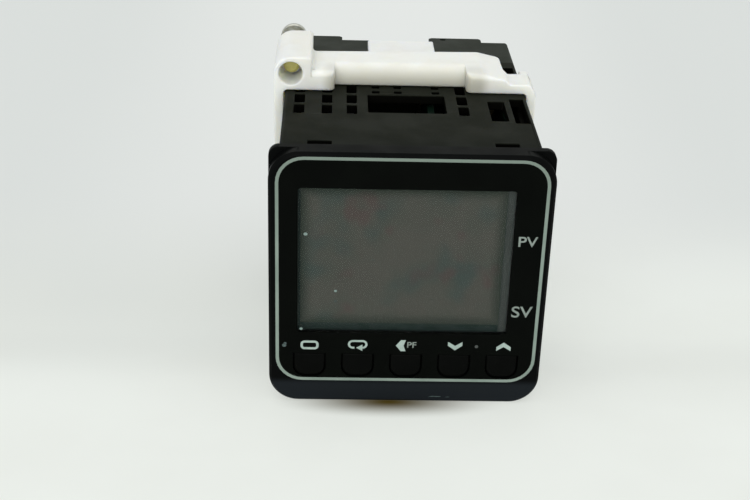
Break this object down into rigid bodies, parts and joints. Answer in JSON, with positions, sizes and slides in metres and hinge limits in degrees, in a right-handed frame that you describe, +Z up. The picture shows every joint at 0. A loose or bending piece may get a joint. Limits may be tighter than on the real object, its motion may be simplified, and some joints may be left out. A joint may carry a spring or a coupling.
{
  "type": "pid temperature controller",
  "caption": "Square panel-mounted PID temperature controller with a display, a row of keys, a vented case, rear screw terminals and a sliding mounting adapter with clamp screws.",
  "frame": {"origin": "centre of the bezel's rear face, where it seats on the panel, on the axis of the panel cut-out", "axes": "+X right seen from the front, +Y back through the panel along the case, +Z up"},
  "size_m": [0.0488, 0.0664, 0.0578],
  "materials": {
    "bezel_black": "fine satin moulding",
    "sheet_black": "glossy printed sheet",
    "lens_clear": "clear lens",
    "lcd_grey": "dark grey polariser",
    "lcd_glass": "display glass",
    "light_guide": "clear white moulding",
    "holder_black": "matt moulding",
    "elastomer": "layered elastomer",
    "led_yellow": "resin",
    "key_black": "satin key cap",
    "pad_rubber": "silicone",
    "carbon": "carbon filled",
    "board_green": "solder mask",
    "header_black": "moulded header",
    "ferrite": "sintered ferrite",
    "winding_tape": "yellow tape",
    "can_aluminium": "drawn can",
    "varistor_blue": "dipped coating",
    "relay_body": "moulded cover",
    "chip_black": "moulded package",
    "case_black": "fine spark texture",
    "block_black": "fine spark texture",
    "terminal_brass": "plated strip",
    "terminal_steel": "zinc plated",
    "adapter_white": "satin moulding",
    "clamp_steel": "yellow-tinged zinc plate"
  },
  "bodies": {
    "housing": {"front_bezel": "bezel_black", "front_sheet": "sheet_black", "display_window": "lens_clear", "lcd_polariser": "lcd_grey", "lcd_panel": "lcd_glass", "lcd_connectors": "elastomer", "light_guide": "light_guide", "lcd_holder": "holder_black", "backlight_leds": "led_yellow", "key_pad": "pad_rubber", "contact_pills": "carbon", "display_board": "board_green", "board_connectors": "header_black", "power_board": "board_green", "input_board": "board_green", "output_board": "board_green", "transformer_core": "ferrite", "transformer_winding": "winding_tape", "supply_capacitors": "can_aluminium", "surge_varistor": "varistor_blue", "control_relay": "relay_body", "alarm_relay": "relay_body", "processor_chip": "chip_black", "signal_chips": "chip_black", "rear_case": "case_black", "terminal_block": "block_black", "terminal_plates": "terminal_brass", "terminal_washers": "terminal_steel", "terminal_screws": "terminal_steel"},
    "adapter": {"mounting_adapter": "adapter_white"},
    "upper_screw": {"upper_clamp_screw": "clamp_steel"},
    "lower_screw": {"lower_clamp_screw": "clamp_steel"},
    "level_key": {"level_key": "key_black"},
    "mode_key": {"mode_key": "key_black"},
    "shift_key": {"shift_key": "key_black"},
    "down_key": {"down_key": "key_black"},
    "up_key": {"up_key": "key_black"}
  },
  "joints": [
    {"name": "adapter_slide", "type": "slide", "parent": "housing", "child": "adapter", "axis": [0, 1, 0], "range_m": [-0.0275, 0.03]},
    {"name": "upper_screw_feed", "type": "slide", "parent": "adapter", "child": "upper_screw", "axis": [0, 1, 0], "range_m": [-0.0048, 0.006]},
    {"name": "lower_screw_feed", "type": "slide", "parent": "adapter", "child": "lower_screw", "axis": [0, 1, 0], "range_m": [-0.0048, 0.006]},
    {"name": "level_key_press", "type": "slide", "parent": "housing", "child": "level_key", "axis": [0, 1, 0], "range_m": [0, 0.0005], "stiffness_N_per_m": 600, "springref_m": -0.0008},
    {"name": "mode_key_press", "type": "slide", "parent": "housing", "child": "mode_key", "axis": [0, 1, 0], "range_m": [0, 0.0005], "stiffness_N_per_m": 600, "springref_m": -0.0008},
    {"name": "shift_key_press", "type": "slide", "parent": "housing", "child": "shift_key", "axis": [0, 1, 0], "range_m": [0, 0.0005], "stiffness_N_per_m": 600, "springref_m": -0.0008},
    {"name": "down_key_press", "type": "slide", "parent": "housing", "child": "down_key", "axis": [0, 1, 0], "range_m": [0, 0.0005], "stiffness_N_per_m": 600, "springref_m": -0.0008},
    {"name": "up_key_press", "type": "slide", "parent": "housing", "child": "up_key", "axis": [0, 1, 0], "range_m": [0, 0.0005], "stiffness_N_per_m": 600, "springref_m": -0.0008}
  ]
}
